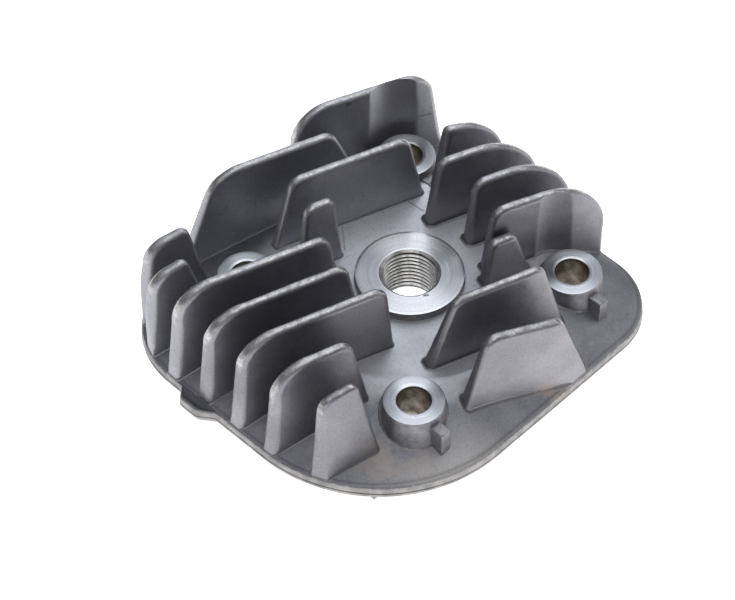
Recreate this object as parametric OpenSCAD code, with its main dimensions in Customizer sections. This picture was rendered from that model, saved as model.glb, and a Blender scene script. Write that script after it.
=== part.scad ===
// Air-cooled small-engine cylinder head: one die casting with machined seats.
// Origin: centre of the stud pattern on the machined joint face (z = 0). +Z runs up the
// plug axis. The stud pattern is a square with its sides along X and Y. Units: mm.

/* [Stud pattern] */
// Distance between stud centres along each side of the square
stud_square = 54; // [52:0.5:56]
// Diameter of each plain stud hole
stud_hole_d = 8; // [7:0.1:8.5]
// Outside diameter of a stud boss at its machined top
boss_top_d = 14.3; // [13.5:0.1:15]
// Outside diameter of a stud boss where it leaves the deck
boss_root_d = 16; // [15.5:0.1:16.5]
// Diameter of the stud column below the deck
boss_foot_d = 18; // [17:0.5:19]

/* [Heights] */
// Joint face to the machined tops of plug boss and stud bosses
seat_z = 18.5; // [17.5:0.1:20]
// Drop from the machined tops to the flat centre of the deck
deck_drop = 2.25; // [1.5:0.05:3]
// Joint face to the upper edge of the flange rim
rim_top_z = 7.5; // [7:0.1:8.5]
// Joint face to the lower edge of the flange rim
rim_low_z = 3.7; // [3:0.1:4]
// Joint face to the tallest fin tops
fin_top_z = 36.5; // [34:0.5:38]

/* [Flange outline] */
// Reach of the flange to the left of the plug axis
reach_left = 55.2; // [54.6:0.1:57]
// Reach of the flange to the right of the plug axis
reach_right = 44.5; // [44:0.5:46]
// Reach of the flange in front of the plug axis
reach_front = 44.5; // [44:0.5:46]
// Reach of the flange behind the plug axis
reach_back = 48; // [47:0.5:50]
// Radius of the large front-left corner
corner_front_left = 38; // [35:0.5:40]
// Radius of the two right-hand corners
corner_right = 17.5; // [15:0.5:19]
// Radius of the back-left corner
corner_back_left = 23; // [21:0.5:25]
// Outward step of the mould parting line on the rim
parting_step = 0.3; // [0:0.05:0.5]
// Inward draft of the rim below the parting line
rim_draft = 0.6; // [0.2:0.1:1]
// Radius of the flat centre of the deck
plateau_r = 31; // [30:0.5:33]

/* [Plug boss] */
// Outside diameter of the plug boss
plug_boss_d = 26; // [24:0.5:28]
// Minor diameter of the M14 x 1.25 plug thread
plug_thread_d = 12.65; // [12.6:0.05:12.8]
// Length of the plug hole, from the seat face to the chamber roof
plug_reach = 12.7; // [11.5:0.1:12.7]
// Entry chamfer diameter at the seat face
plug_entry_d = 15; // [14.5:0.1:16]

/* [Joint face and chamber] */
// Diameter of the machined joint face
joint_d = 60; // [58:0.5:62]
// Diameter of the shallow recess that sits over the bore
squish_d = 40.6; // [39:0.1:42]
// Depth of that recess
squish_depth = 0.8; // [0.5:0.1:1.2]
// Diameter of the combustion bowl at the recess floor
bowl_d = 33; // [30:0.5:35]

/* [Fins] */
// Direction of every fin, turned clockwise from +X
fin_angle = 19; // [17:0.5:21]
// Thickness of a fin at its top
fin_top_t = 2.4; // [2:0.1:2.8]
// Thickness of a fin at the flange rim height
fin_root_t = 3.9; // [3.4:0.1:4.2]
// Corner radius on the inner ends of the fins
inner_corner = 3.5; // [2:0.5:4]
// Corner radius on the left-hand outer ends
outer_corner = 10; // [8:0.5:11]
// Corner radius on the right-hand outer ends
sweep_corner = 18; // [15:0.5:19]
// Gap between the fins' outer ends and the edge of the flange
fin_inset = 0.5; // [0.3:0.1:1]
// Radius of the spanner relief in the fin beside the back stud
relief_back_r = 9.8; // [9.5:0.1:10.2]
// Radius of the spanner relief in the fin beside the right stud
relief_right_r = 11; // [10.6:0.1:11.3]

/* [Small details] */
// Side length of the square lug at the foot of each stud boss
lug_w = 3; // [2.5:0.1:3.5]
// Distance from stud axis to the far side of the lug
lug_reach = 10.9; // [10.5:0.1:11.5]
// Drop from the machined tops to the tops of the lugs
lug_drop = 1.9; // [1.5:0.1:2]
// Amount the locating ear stands out from the left side
ear_out = 2.8; // [2:0.1:3.5]
// Length of the locating ear along the left side
ear_len = 13; // [11:0.5:15]
// Distance of the ear's middle behind the plug axis
ear_y = 14.5; // [13:0.5:16]
// Sideways offset of the lugs from the stud axes
lug_shift = -0.6; // [-1:0.1:0]

/* [Colours] */
// Colour of cast surfaces
cast_col = [0.40, 0.40, 0.43];
// Colour of the fins
fin_col = [0.30, 0.30, 0.33];
// Colour of machined surfaces
machined_col = [0.75, 0.76, 0.78];

/* [Hidden] */
$fn = 96;
eps = 0.02;
crest_lift = 0.05;
half = stud_square / 2;
plateau_z = seat_z - deck_drop;
parting_z = (rim_top_z + rim_low_z) / 2;
joint_r = joint_d / 2;

// Points of a quarter arc about c from angle a0 to a1
function arc_pts(c, r, a0, a1, n) =
  [for (i = [0 : n]) let (a = a0 + (a1 - a0) * i / n) [c[0] + r * cos(a), c[1] + r * sin(a)]];

// Unit vector from a to b
function unit(a, b) = (b - a) / norm(b - a);

// Corner c between a and b replaced by an arc of radius r
function round_corner(a, c, b, r, n) =
  let (
    u = unit(c, a),
    v = unit(c, b),
    half_turn = acos(u * v) / 2,
    reach = r / tan(half_turn),
    mid = unit([0, 0], (u + v) / 2),
    centre = c + mid * (r / sin(half_turn)),
    p0 = c + u * reach - centre,
    p1 = c + v * reach - centre,
    a0 = atan2(p0[1], p0[0]),
    raw = atan2(p1[1], p1[0]) - a0,
    turn = raw > 180 ? raw - 360 : (raw < -180 ? raw + 360 : raw)
  )
  arc_pts(centre, r, a0, a0 + turn, n);

// Flange outline moved outward by g (inward when g is negative)
function outline_pts(g) = concat(
  arc_pts([reach_right - corner_right, corner_right - reach_front], corner_right + g, -90, 0, 16),
  arc_pts([reach_right - corner_right, reach_back - corner_right], corner_right + g, 0, 90, 16),
  arc_pts([corner_back_left - reach_left, reach_back - corner_back_left], corner_back_left + g,
    90, 180, 16),
  arc_pts([corner_front_left - reach_left, corner_front_left - reach_front],
    corner_front_left + g, 180, 270, 20)
);

module outline(g) {
  polygon(outline_pts(g));
}

// Thin slice of the outline at height z
module slice(g, z) {
  translate([0, 0, z])
    linear_extrude(height = eps)
      outline(g);
}

// Flange and deck before the bosses are cut out
module deck_blank() {
  hull() {
    slice(-rim_draft, rim_low_z);
    slice(parting_step, parting_z);
    slice(0, rim_top_z - eps);
    translate([0, 0, plateau_z - eps])
      cylinder(r = plateau_r, h = eps);
  }
}

// Outside shape of one stud boss with its foot
module boss_blank() {
  cylinder(d = boss_foot_d, h = rim_low_z + 2.5);
  cylinder(d = boss_root_d, h = rim_top_z + 2);
  translate([0, 0, rim_top_z + 2])
    cylinder(d1 = boss_root_d, d2 = boss_top_d, h = seat_z - rim_top_z - 2);
}

module at_stud(ix, iy) {
  translate([ix * half, iy * half, 0])
    children();
}

module all_studs() {
  for (ix = [-1, 1])
    for (iy = [-1, 1])
      at_stud(ix, iy)
        children();
}

module stud_boss(ix, iy) {
  color(machined_col)
    at_stud(ix, iy)
      difference() {
        boss_blank();
        translate([0, 0, -1])
          cylinder(d = stud_hole_d, h = seat_z + 2);
      }
}

module flange() {
  color(cast_col)
    difference() {
      deck_blank();
      translate([0, 0, -1])
        cylinder(r = joint_r, h = seat_z + 2);
      all_studs()
        boss_blank();
    }
}

// Round bowl: its sphere passes through the bowl's edge and the lower edge of the plug hole
module bowl() {
  rim_r = bowl_d / 2;
  hole_r = plug_thread_d / 2;
  roof_z = seat_z - plug_reach;
  centre_z = (rim_r * rim_r - hole_r * hole_r + squish_depth * squish_depth - roof_z * roof_z)
    / (2 * (squish_depth - roof_z));
  intersection() {
    translate([0, 0, centre_z])
      sphere(r = norm([rim_r, squish_depth - centre_z]));
    cylinder(r = rim_r, h = seat_z);
  }
}

module chamber() {
  translate([0, 0, -1])
    cylinder(d = squish_d, h = squish_depth + 1);
  bowl();
}

module head_core() {
  color(cast_col)
    difference() {
      cylinder(r = joint_r, h = plateau_z);
      chamber();
      translate([0, 0, squish_depth])
        cylinder(d = plug_boss_d, h = seat_z);
      all_studs()
        boss_blank();
    }
}

module plug_boss() {
  entry_drop = (plug_entry_d - plug_thread_d) / 2;
  color(machined_col)
    difference() {
      translate([0, 0, squish_depth])
        cylinder(d = plug_boss_d, h = seat_z - squish_depth);
      chamber();
      translate([0, 0, -1])
        cylinder(d = plug_thread_d, h = seat_z + 2);
      translate([0, 0, seat_z - entry_drop])
        cylinder(d1 = plug_thread_d, d2 = plug_entry_d, h = entry_drop);
    }
}

// Square lug on the front side of a stud boss
module lug(ix, iy) {
  color(cast_col)
    difference() {
      at_stud(ix, iy)
        translate([lug_shift - lug_w / 2, -lug_reach, rim_top_z])
          cube([lug_w, lug_reach - boss_top_d / 2 + 0.4, seat_z - lug_drop - rim_top_z]);
      at_stud(ix, iy)
        boss_blank();
      deck_blank();
    }
}

// The back lug gives way to the fin that stands across it
module lug_back() {
  difference() {
    lug(1, 1);
    fin_right_1();
  }
}

module locating_ear() {
  color(cast_col)
    difference() {
      translate([-reach_left, ear_y, rim_low_z])
        linear_extrude(height = rim_top_z - rim_low_z)
          polygon([
            [1.5, -ear_len / 2], [0, -ear_len / 2], [-ear_out + 0.8, -ear_len / 2 + 3.5],
            [-ear_out, -ear_len / 2 + 5], [-ear_out, ear_len / 2 - 4],
            [-ear_out + 0.8, ear_len / 2 - 2.2], [0, ear_len / 2], [1.5, ear_len / 2]
          ]);
      deck_blank();
    }
}

// A fin's end is given as [x at the rim height, x at the crest, height of the crest, corner
// radius], with x taken on the fin's centre line. A free end is square to the fin. The outer end
// of a fin that reaches the side of the flange is parallel to that side instead.

// Distance along the fin line p of the point with this x
function along(x, p) = (x - p * sin(fin_angle)) / cos(fin_angle);

// Side view along the fin. An end that end_side() shapes is left long, in line with the crest.
module fin_side(p, left, right, outer) {
  low = rim_top_z - 1;
  tl = [along(left[1], p), left[2]];
  tr = [along(right[1], p), right[2]];
  more = unit(tl, tr) * 12;
  tl_end = outer < 0 ? tl - more : tl;
  tr_end = outer > 0 ? tr + more : tr;
  bl = [outer < 0 ? tl_end[0] - 2 : along(left[0], p), low];
  br = [outer > 0 ? tr_end[0] + 2 : along(right[0], p), low];
  polygon(concat(
    [bl], round_corner(bl, tl_end, tr_end, left[3], 8),
    round_corner(tl_end, tr_end, br, right[3], 8), [br]
  ));
}

// Side view across the head that shapes the outer end; side is -1 at the left, 1 at the right
module end_side(end, other, side) {
  low = rim_top_z - 1;
  foot = [end[0], low];
  arc = round_corner(foot, [end[1], end[2] + crest_lift], [other[1], other[2] + crest_lift],
    end[3], 10);
  polygon(concat([foot], arc, [[arc[10][0], 60], [-side * 100, 60], [-side * 100, low]]));
}

// End view of a fin: a drafted wedge centred on zero
module fin_wedge() {
  low = rim_top_z - 1;
  polygon([
    [-fin_root_t / 2, low], [fin_root_t / 2, low],
    [fin_top_t / 2, fin_top_z + 1], [-fin_top_t / 2, fin_top_z + 1]
  ]);
}

// One fin on the line at distance p from the plug axis; outer is -1 or 1 if its left or right
// end is an outer end, 0 if both are free
module fin_blank(p, left, right, outer) {
  intersection() {
    rotate([0, 0, -fin_angle])
      translate([0, p + 5, 0])
        rotate([90, 0, 0])
          linear_extrude(height = 10)
            fin_side(p, left, right, outer);
    rotate([0, 0, -fin_angle])
      translate([-90, p, 0])
        rotate([90, 0, 90])
          linear_extrude(height = 180)
            fin_wedge();
    translate([0, 0, rim_low_z])
      linear_extrude(height = fin_top_z)
        outline(-fin_inset);
    if (outer != 0)
      translate([0, 80, 0])
        rotate([90, 0, 0])
          linear_extrude(height = 160)
            end_side(outer < 0 ? left : right, outer < 0 ? right : left, outer);
  }
}

module fin(p, left, right, outer) {
  color(fin_col)
    difference() {
      fin_blank(p, left, right, outer);
      deck_blank();
    }
}

// Fin with a round relief for the spanner on the stud at (ix, iy)
module relieved_fin(p, left, right, ix, iy, r) {
  color(fin_col)
    difference() {
      fin_blank(p, left, right, 1);
      deck_blank();
      at_stud(ix, iy)
        cylinder(r = r, h = 2 * fin_top_z);
    }
}

module fin_left_1() {
  fin(23.4, [-49, -45, 32.2, 7], [-30.8, -36.4, 34.5, 2], -1);
}

module fin_left_2() {
  fin(13.8, [-54.6, -51.4, 32.6, 8], [-36.3, -43.8, 35.4, 1.5], -1);
}

module fin_left_3() {
  fin(4.7, [-54.6, -52, 36, outer_corner], [-11.9, -16.8, 36.4, inner_corner], -1);
}

module fin_left_4() {
  fin(-5, [-54.6, -52, 35.6, outer_corner], [-15, -20, 36.2, inner_corner], -1);
}

module fin_left_5() {
  fin(-15, [-54.6, -52, 35.8, outer_corner], [-16.2, -18.6, 36.4, inner_corner], -1);
}

module fin_left_6() {
  fin(-25.2, [-54.4, -52, 35, outer_corner], [-29.7, -35.2, 36, inner_corner], -1);
}

module fin_left_7() {
  fin(-36.6, [-52, -50.5, 34, 5], [-37, -43, 36.4, 2], -1);
}

module fin_back_1() {
  relieved_fin(43.4, [3.6, 5.8, 36.4, outer_corner], [43.4, 39.6, 34.6, 8], 1, 1, relief_back_r);
}

module fin_back_2() {
  fin(34.1, [-31, -21.4, 35.9, outer_corner], [18.8, 7.6, 36, inner_corner], 0);
}

module fin_back_3() {
  fin(24.2, [-16.5, -10, 36.4, inner_corner], [24.3, 18.7, 36.4, inner_corner], 0);
}

module fin_back_stub() {
  fin(14.8, [-16.1, -14, 36.2, 3], [-4.8, -7.4, 36.4, 2], 0);
}

module fin_right_1() {
  fin(23.6, [24.3, 28.2, 35.6, 1.5], [43.8, 41.2, 34, 15], 1);
}

module fin_right_2() {
  fin(14.2, [14.6, 18.5, 36.2, inner_corner], [44, 43.4, 35.6, sweep_corner], 1);
}

module fin_right_3() {
  fin(4.5, [17.2, 19.6, 36.4, inner_corner], [44, 43.4, 35.6, sweep_corner], 1);
}

module fin_right_4() {
  relieved_fin(-5.3, [13.3, 15.9, 36.4, inner_corner], [44.2, 44, 34.6, sweep_corner], 1, -1,
    relief_right_r);
}

// Short stub that stands against the front of the fourth right-hand fin
module fin_right_stub() {
  color(fin_col)
    difference() {
      fin_blank(-8.9, [9.6, 12.6, 30, 2], [24.8, 18.2, 30.2, 2], 0);
      deck_blank();
      fin_right_4();
    }
}

module fin_front_1() {
  fin(-25, [-19.4, -10, 35.8, inner_corner], [19.2, 11.2, 36, 3], 0);
}

module fin_front_2() {
  fin(-37, [-18.8, -11.9, 34.6, inner_corner], [14, 5.8, 30.8, 3], 0);
}

flange();
head_core();
plug_boss();
stud_boss(-1, -1);  // stud_boss_front
stud_boss(1, -1);  // stud_boss_right
stud_boss(1, 1);  // stud_boss_back
stud_boss(-1, 1);  // stud_boss_left
lug(-1, -1);  // lug_front
lug(1, -1);  // lug_right
lug_back();
locating_ear();
fin_left_1();
fin_left_2();
fin_left_3();
fin_left_4();
fin_left_5();
fin_left_6();
fin_left_7();
fin_back_1();
fin_back_2();
fin_back_3();
fin_back_stub();
fin_right_1();
fin_right_2();
fin_right_3();
fin_right_4();
fin_right_stub();
fin_front_1();
fin_front_2();
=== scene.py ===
import math

import bmesh
import bpy
import numpy as np
from mathutils import Matrix, Vector, noise


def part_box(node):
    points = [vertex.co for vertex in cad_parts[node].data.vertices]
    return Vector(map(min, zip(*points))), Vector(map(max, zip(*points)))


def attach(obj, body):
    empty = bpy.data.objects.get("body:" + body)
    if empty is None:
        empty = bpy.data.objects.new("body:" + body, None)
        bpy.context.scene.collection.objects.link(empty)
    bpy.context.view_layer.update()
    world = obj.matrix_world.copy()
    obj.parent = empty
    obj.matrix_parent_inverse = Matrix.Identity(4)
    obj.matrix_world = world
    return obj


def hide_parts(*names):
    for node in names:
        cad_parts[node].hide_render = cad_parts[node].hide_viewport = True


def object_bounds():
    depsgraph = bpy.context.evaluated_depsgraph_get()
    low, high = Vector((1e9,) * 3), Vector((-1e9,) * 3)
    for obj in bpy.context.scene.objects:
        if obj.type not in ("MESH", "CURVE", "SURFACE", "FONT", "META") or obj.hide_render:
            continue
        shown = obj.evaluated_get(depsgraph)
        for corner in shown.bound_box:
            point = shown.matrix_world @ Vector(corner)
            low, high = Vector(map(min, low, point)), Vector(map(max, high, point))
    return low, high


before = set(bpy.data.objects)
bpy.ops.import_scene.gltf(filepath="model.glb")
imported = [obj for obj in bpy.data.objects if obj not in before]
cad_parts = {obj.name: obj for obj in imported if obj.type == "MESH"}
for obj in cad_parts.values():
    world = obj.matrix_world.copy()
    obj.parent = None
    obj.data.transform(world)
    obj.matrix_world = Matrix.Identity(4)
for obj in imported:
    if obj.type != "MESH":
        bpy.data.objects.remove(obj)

cad_low, cad_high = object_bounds()

# ---- sizes, in millimetres
MM = 0.001
HALF_STUD = 27.0
SEAT_Z = 18.5
PLATEAU_Z = 16.25
PLATEAU_R = 31.0
RIM_TOP_Z = 7.5
RIM_LOW_Z = 3.7
PARTING_Z = 5.6
JOINT_R = 30.0
PLUG_R = 13.0
HOLE_R = 4.0
BOSS_TOP_R = 7.15
BOSS_ROOT_R = 8.0
BOSS_FOOT_R = 9.0
FLANGE_HOLE_R = 7.2
FOOT_TOP_Z = RIM_LOW_Z + 2.5
SQUISH_R = 20.3
SQUISH_DEPTH = 0.8
BOWL_R = 16.5
ENTRY_R = 7.3
THREAD_MINOR_R = 6.325
THREAD_DEPTH = 0.72
THREAD_PITCH = 1.25
PLUG_REACH = 12.7
FIN_ANGLE = math.radians(19)
FIN_COS, FIN_SIN, FIN_TAN = math.cos(FIN_ANGLE), math.sin(FIN_ANGLE), math.tan(FIN_ANGLE)
FIN_LOW_Z = 6.5
FIN_HIGH_Z = 37.5
FIN_HALF_LOW = 1.95
FIN_HALF_HIGH = 1.2
FIN_INSET = 0.35
EDGE_R = 1.05
OUTER_END_R = 1.7
LEFT_GROW = 0.8
END_GROW = 0.25
FILLET_R = 0.75
SMALL_FILLET_R = 0.35
FILLET_SINK = 0.35
FILLET_BEHIND = 0.4
NIB_AT = (-44.1, -31.7)

# corner circles of the flange outline: centre x, centre y, radius, anticlockwise
CORNERS = [(27.0, -27.0, 17.5), (27.0, 30.5, 17.5), (-32.2, 25.0, 23.0), (-17.2, -6.5, 38.0)]

# each fin: distance of its line from the plug axis, left end, right end and the side of its
# outer end (-1 left, 1 right, 0 none). An end is x at the foot, x at the crest, crest height
# and corner radius. A relief is the stud it clears and the relief's radius.
FINS = {
    "fin_left_1": (23.4, (-49, -45, 32.2, 7), (-30.8, -36.4, 34.5, 2), -1, None),
    "fin_left_2": (13.8, (-54.6, -51.4, 32.6, 8), (-36.3, -43.8, 35.4, 1.5), -1, None),
    "fin_left_3": (4.7, (-54.6, -52, 36, 10), (-11.9, -16.8, 36.4, 3.5), -1, None),
    "fin_left_4": (-5, (-54.6, -52, 35.6, 10), (-15, -20, 36.2, 3.5), -1, None),
    "fin_left_5": (-15, (-54.6, -52, 35.8, 10), (-16.2, -18.6, 36.4, 3.5), -1, None),
    "fin_left_6": (-25.2, (-54.4, -52, 35, 10), (-29.7, -35.2, 36, 3.5), -1, None),
    "fin_left_7": (-36.6, (-52, -50.5, 34, 5), (-37, -43, 36.4, 2), -1, None),
    "fin_back_1": (43.4, (3.6, 5.8, 36.4, 10), (43.4, 39.6, 34.6, 8), 1, (27, 27, 9.8)),
    "fin_back_2": (34.1, (-31, -21.4, 35.9, 10), (18.8, 7.6, 36, 3.5), 0, None),
    "fin_back_3": (24.2, (-16.5, -10, 36.4, 3.5), (24.3, 18.7, 36.4, 3.5), 0, None),
    "fin_back_stub": (14.8, (-16.1, -14, 36.2, 3), (-4.8, -7.4, 36.4, 2), 0, None),
    "fin_right_1": (23.6, (24.3, 28.2, 35.6, 1.5), (43.8, 41.2, 34.0, 15), 1, None),
    "fin_right_2": (14.2, (14.6, 18.5, 36.2, 3.5), (44, 43.4, 35.6, 18), 1, None),
    "fin_right_3": (4.5, (17.2, 19.6, 36.4, 3.5), (44, 43.4, 35.6, 18), 1, None),
    "fin_right_4": (-5.3, (13.3, 15.9, 36.4, 3.5), (44.2, 44, 34.6, 18), 1, (27, -27, 11)),
    "fin_right_stub": (-8.9, (9.6, 12.6, 30, 2), (24.8, 18.2, 30.2, 2), 0, None),
    "fin_front_1": (-25, (-19.4, -10, 35.8, 3.5), (19.2, 11.2, 36, 3), 0, None),
    "fin_front_2": (-37, (-18.8, -11.9, 34.6, 3.5), (14, 5.8, 30.8, 3), 0, None),
}
STUDS = {
    "front": (-HALF_STUD, -HALF_STUD), "right": (HALF_STUD, -HALF_STUD),
    "back": (HALF_STUD, HALF_STUD), "left": (-HALF_STUD, HALF_STUD),
}

# ---- outline and deck surface
THETAS = np.radians(np.arange(0, 360, 0.75))
NORMALS = np.stack([np.cos(THETAS), np.sin(THETAS)], 1)
LEFTWARD = len(THETAS) // 2
SUPPORT = np.max([NORMALS @ np.array([x, y]) + r for x, y, r in CORNERS], axis=0)


def edge_distance(xy):
    """Distance from each point to the flange outline, and the outline's direction there."""
    reach = SUPPORT[None, :] - xy @ NORMALS.T
    nearest = reach.argmin(1)
    return reach[np.arange(len(xy)), nearest], NORMALS[nearest]


def deck_z(xy):
    """Height of the deck: flat in the middle, then sloping straight to the rim."""
    fall = (PLATEAU_Z - RIM_TOP_Z) / (SUPPORT - PLATEAU_R)
    planes = PLATEAU_Z - (xy @ NORMALS.T - PLATEAU_R) * fall[None, :]
    return np.minimum(planes.min(1), PLATEAU_Z)


def keep_inside(xy, inset):
    """Points pushed back so that none is nearer to the outline than inset."""
    reach, out = edge_distance(xy)
    return xy - out * np.maximum(inset - reach, 0)[:, None]


def outline_points(step):
    """Points round the outline with their outward directions, anticlockwise."""
    points, outs = [], []
    start = math.radians(-90)
    for i, (x, y, r) in enumerate(CORNERS):
        nx, ny, nr = CORNERS[(i + 1) % 4]
        a0 = start + i * math.pi / 2
        count = max(8, int(r * math.pi / 2 / step))
        a1 = a0 + math.pi / 2
        for k in range(count):
            a = a0 + (a1 - a0) * k / count
            points.append((x + r * math.cos(a), y + r * math.sin(a)))
            outs.append((math.cos(a), math.sin(a)))
        end = Vector((x + r * math.cos(a1), y + r * math.sin(a1)))
        nxt = Vector((nx + nr * math.cos(a1), ny + nr * math.sin(a1)))
        straight = max(1, int((nxt - end).length / (2 * step)))
        for k in range(straight):
            q = end.lerp(nxt, k / straight)
            points.append((q.x, q.y))
            outs.append((math.cos(a1), math.sin(a1)))
    return np.array(points), np.array(outs)


# ---- mesh helpers
MERGE_M = 4e-6  # metres: points nearer than this become one


def grid_faces(rows, cols, wrap=True):
    """Quads of a grid of rows x cols points; wrap joins the last column to the first."""
    out = []
    for r in range(rows - 1):
        for c in range(cols if wrap else cols - 1):
            d = (c + 1) % cols
            a = r * cols
            out.append((a + c, a + d, a + cols + d, a + cols + c))
    return out


def tube_faces(rows, cols):
    """Quads of a grid that closes both ways: last row to first and last column to first."""
    last = (rows - 1) * cols
    seam = [(last + c, last + (c + 1) % cols, (c + 1) % cols, c) for c in range(cols)]
    return grid_faces(rows, cols) + seam


def bar_faces(rows, cols):
    """Faces of a bar whose rows run along it and close round it, with a cap at each end."""
    last = (rows - 1) * cols
    seam = [(last + c, last + c + 1, c + 1, c) for c in range(cols - 1)]
    caps = [tuple(r * cols + c for r in range(rows)) for c in (0, cols - 1)]
    return grid_faces(rows, cols, wrap=False) + seam + caps


class Rows:
    """Rows of points that make up a surface, each row with its wear."""

    def __init__(self):
        self.points, self.wear_and_shade = [], []

    def add(self, xy, z, wear_and_shade=0):
        self.points.append(np.column_stack([xy, np.broadcast_to(z, len(xy))]))
        self.wear_and_shade.append(wear_and_shade)


def into_scene(obj):
    bpy.context.scene.collection.objects.link(obj)


def new_object(name, points, faces, materials, face_material=None, wear_and_shade=None, at=(0, 0, 0),
               sharp=40):
    """A mesh object from points in millimetres, with doubled points merged."""
    mesh = bpy.data.meshes.new(name)
    offset = np.array(at, float)
    local = (np.asarray(points, float) - offset) * MM
    mesh.from_pydata(local.tolist(), [], faces)
    for m in materials:
        mesh.materials.append(m)
    if face_material is not None:
        mesh.polygons.foreach_set("material_index", face_material)
    # positive values are wear; negative values darken the surface, as painted shade in fillets and
    # grooves and on the ear's top
    layer = mesh.attributes.new("wear_and_shade", "FLOAT", "POINT")
    values = np.zeros(len(local)) if wear_and_shade is None else np.asarray(wear_and_shade, float)
    layer.data.foreach_set("value", values)
    bm = bmesh.new()
    bm.from_mesh(mesh)
    bmesh.ops.remove_doubles(bm, verts=bm.verts, dist=MERGE_M)
    bmesh.ops.dissolve_degenerate(bm, edges=bm.edges, dist=MERGE_M / 4)
    bmesh.ops.recalc_face_normals(bm, faces=bm.faces)
    bm.to_mesh(mesh)
    bm.free()
    mesh.polygons.foreach_set("use_smooth", [True] * len(mesh.polygons))
    mesh.set_sharp_from_angle(angle=math.radians(sharp))
    obj = bpy.data.objects.new(name, mesh)
    obj.location = offset * MM
    into_scene(obj)
    return obj


def place(obj, slot, *nodes):
    """Hangs a piece on the body it rides on and hides the CAD parts it stands for."""
    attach(obj, "root")
    if nodes:
        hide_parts(*nodes)
    return obj


def revolve(profile, segments, centre):
    """Points of a closed (r, z) profile turned about the vertical line through centre."""
    angles = np.linspace(0, 2 * math.pi, segments, endpoint=False)
    rows = [np.stack([centre[0] + r * np.cos(angles), centre[1] + r * np.sin(angles),
                      np.full(segments, z)], 1) for r, z in profile]
    return np.concatenate(rows)


def ring_faces(segments, marks):
    """Faces of a closed revolved profile; marks gives the material of each profile side."""
    return tube_faces(len(marks), segments), [m for m in marks for _ in range(segments)]


def fillet_strip(contour_at, radius):
    """Closed ring of concave fillet between a wall and the deck. contour_at(h) gives the
    wall's points and outward directions at height h above the deck."""
    base, _ = contour_at(0.0)
    reach, _ = edge_distance(base)
    local = np.clip(np.minimum(radius, reach - 0.25), 0.12, radius)
    rows = []
    for t in np.linspace(0, math.pi / 2, 7):
        rows.append((local * (1 - math.cos(t)) - 0.06 * math.cos(t), local * (1 - math.sin(t))))
    sunk, behind = 0 * local - FILLET_SINK, 0 * local - FILLET_BEHIND
    rows += [(local, sunk), (behind, sunk), (behind, 0.8 * local)]
    points = []
    for out, up in rows:
        wall, normal = contour_at(up)
        xy = wall + normal * out[:, None]
        points.append(np.column_stack([xy, deck_z(xy) + up]))
    return np.concatenate(points), tube_faces(len(rows), len(base))


def circle_contour(centre, r_low, r_high, rise):
    """contour_at for a cone wall of radius r_low at the deck that narrows to r_high."""
    angles = np.linspace(0, 2 * math.pi, 96, endpoint=False)
    out = np.stack([np.cos(angles), np.sin(angles)], 1)

    def at(h):
        r = r_low + (r_high - r_low) * np.clip(np.asarray(h) / rise, 0, 1)
        return np.array(centre) + out * np.broadcast_to(r, len(out))[:, None], out

    return at


def shake(points, scale, amount, seed):
    """Smooth seeded unevenness, one number per point."""
    shift = Vector((seed * 7.1, seed * 3.3, seed * 1.7))
    return np.array([noise.noise(Vector(p) / scale + shift) for p in points]) * amount


def join(parts):
    """Several (points, faces) lumps as one."""
    points, faces, first = [], [], 0
    for pts, fcs in parts:
        points.append(pts)
        faces += [tuple(i + first for i in f) for f in fcs]
        first += len(pts)
    return np.concatenate(points), faces


# ---- fins
FIN_STEP = 0.45  # between the points along a fin's side line
FIN_SINK = 0.6  # how far the feet of that line lie below the deck
FLOOR_SINK = 0.5  # how far a fin's hidden underside lies below the deck
SKEW_START, SKEW_FADE = 2.0, 9.0  # where an outer end's slant starts to fade, and how slowly
# rows of a fin's face: share of the way from the edge rounding down to the underside
FACE_SHARES = [0.03, 0.07, 0.13, 0.22, 0.34, 0.48, 0.62, 0.75, 0.86, 0.94, 1.0]
# rows of the edge rounding, from the face to the crest
EDGE_TURNS = np.radians([90, 72, 54, 36, 18, 4])
EDGE_WEAR = [0.0, 0.08, 0.3, 0.7, 0.95, 1]
LEFT_WEAR, RIGHT_WEAR = (0.16, 0.4), (0.25, 0.3)  # of a fin's end: as inner end, as outer end
# points round a fin's wall, clockwise from the far side's left end: share of the way along,
# side (1 far, -1 near) and outward direction
WALL_ALONG = np.concatenate([np.linspace(0, 1, 90), np.ones(14), np.linspace(1, 0, 90), np.zeros(14)])
WALL_SIDE = np.repeat([1, -1, 1], [97, 104, 7])
WALL_TURN = np.radians(np.concatenate([
    np.full(90, 90), np.linspace(90, 0, 7), np.linspace(0, -90, 7),
    np.full(90, -90), np.linspace(-90, -180, 7), np.linspace(-180, -270, 7)]))
# painted shade: negative values darken the fillet at a fin's foot
FILLET_PAINTED_SHADE = [-0.2, -0.4, -0.55, -0.55, -0.45, -0.3, -0.1, 0, 0, 0]


def corner_arc(a, c, b, r, n):
    """Corner c between a and b as n + 1 points of an arc of radius r."""
    a, c, b = np.array(a, float), np.array(c, float), np.array(b, float)
    u, v = (a - c) / np.linalg.norm(a - c), (b - c) / np.linalg.norm(b - c)
    half_turn = math.acos(u @ v) / 2
    mid = (u + v) / np.linalg.norm(u + v)
    centre = c + mid * r / math.sin(half_turn)
    p0, p1 = c + u * r / math.tan(half_turn) - centre, c + v * r / math.tan(half_turn) - centre
    a0 = math.atan2(p0[1], p0[0])
    turn = (math.atan2(p1[1], p1[0]) - a0 + math.pi) % (2 * math.pi) - math.pi
    angles = a0 + turn * np.arange(n + 1) / n
    return centre + r * np.stack([np.cos(angles), np.sin(angles)], 1)


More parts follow.
